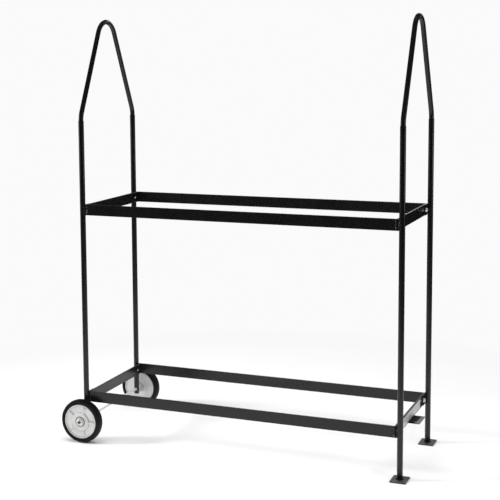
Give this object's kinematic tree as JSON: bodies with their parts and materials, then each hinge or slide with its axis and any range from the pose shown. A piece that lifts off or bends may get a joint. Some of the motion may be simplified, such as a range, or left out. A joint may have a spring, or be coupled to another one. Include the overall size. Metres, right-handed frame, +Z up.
{
  "type": "tyre storage rack",
  "caption": "Black steel tyre storage rack with an upper and a lower tier, tall hooped ends, wheels at one end and foot pads at the other.",
  "frame": {"origin": "on the floor, in the middle of the rack's bounding box", "axes": "+X along the rack towards the foot pads, -X towards the wheels, -Y is the front, +Z up"},
  "size_m": [1.6326, 0.702, 1.9651],
  "materials": {
    "black_coat_tube": "satin",
    "black_coat_plate": "satin",
    "black_coat_bar": "satin",
    "zinc_bolt": "satin",
    "zinc": "satin",
    "silver_disc": "satin",
    "rubber": "matte",
    "label": "satin"
  },
  "bodies": {
    "frame": {"axle": "zinc", "axle_spacer_front": "zinc", "axle_spacer_rear": "zinc", "axle_washer_front": "zinc", "axle_washer_rear": "zinc", "bracket_lower_front_foot": "black_coat_plate", "bracket_lower_front_wheel": "black_coat_plate", "bracket_lower_rear_foot": "black_coat_plate", "bracket_lower_rear_wheel": "black_coat_plate", "bracket_upper_front_foot": "black_coat_plate", "bracket_upper_front_wheel": "black_coat_plate", "bracket_upper_rear_foot": "black_coat_plate", "bracket_upper_rear_wheel": "black_coat_plate", "cotter_pin_front": "zinc", "cotter_pin_rear": "zinc", "cross_bolt_lower_front_foot": "zinc_bolt", "cross_bolt_lower_front_wheel": "zinc_bolt", "cross_bolt_lower_rear_foot": "zinc_bolt", "cross_bolt_lower_rear_wheel": "zinc_bolt", "cross_bolt_upper_front_foot": "zinc_bolt", "cross_bolt_upper_front_wheel": "zinc_bolt", "cross_bolt_upper_rear_foot": "zinc_bolt", "cross_bolt_upper_rear_wheel": "zinc_bolt", "cross_lower_foot_end": "black_coat_bar", "cross_lower_wheel_end": "black_coat_bar", "cross_upper_foot_end": "black_coat_bar", "cross_upper_wheel_end": "black_coat_bar", "foot_pad_front": "black_coat_plate", "foot_pad_rear": "black_coat_plate", "hoop_foot_end": "black_coat_tube", "hoop_wheel_end": "black_coat_tube", "label_blank": "label", "lift_plate": "black_coat_plate", "rail_lower_front": "black_coat_bar", "rail_lower_rear": "black_coat_bar", "rail_upper_front": "black_coat_bar", "rail_upper_rear": "black_coat_bar", "upright_front_foot_end": "black_coat_tube", "upright_front_wheel_end": "black_coat_tube", "upright_rear_foot_end": "black_coat_tube", "upright_rear_wheel_end": "black_coat_tube"},
    "front_wheel": {"wheel_disc_inner_front": "silver_disc", "wheel_disc_outer_front": "silver_disc", "wheel_hub_sleeve_front": "zinc", "wheel_tyre_front": "rubber"},
    "rear_wheel": {"wheel_disc_inner_rear": "silver_disc", "wheel_disc_outer_rear": "silver_disc", "wheel_hub_sleeve_rear": "zinc", "wheel_tyre_rear": "rubber"}
  },
  "joints": [
    {"name": "front_wheel_spin", "type": "hinge", "parent": "frame", "child": "front_wheel", "pos_m": [-0.7147, -0.315, 0.1016], "axis": [0, 1, 0], "continuous": true},
    {"name": "rear_wheel_spin", "type": "hinge", "parent": "frame", "child": "rear_wheel", "pos_m": [-0.7147, 0.315, 0.1016], "axis": [0, 1, 0], "continuous": true}
  ]
}
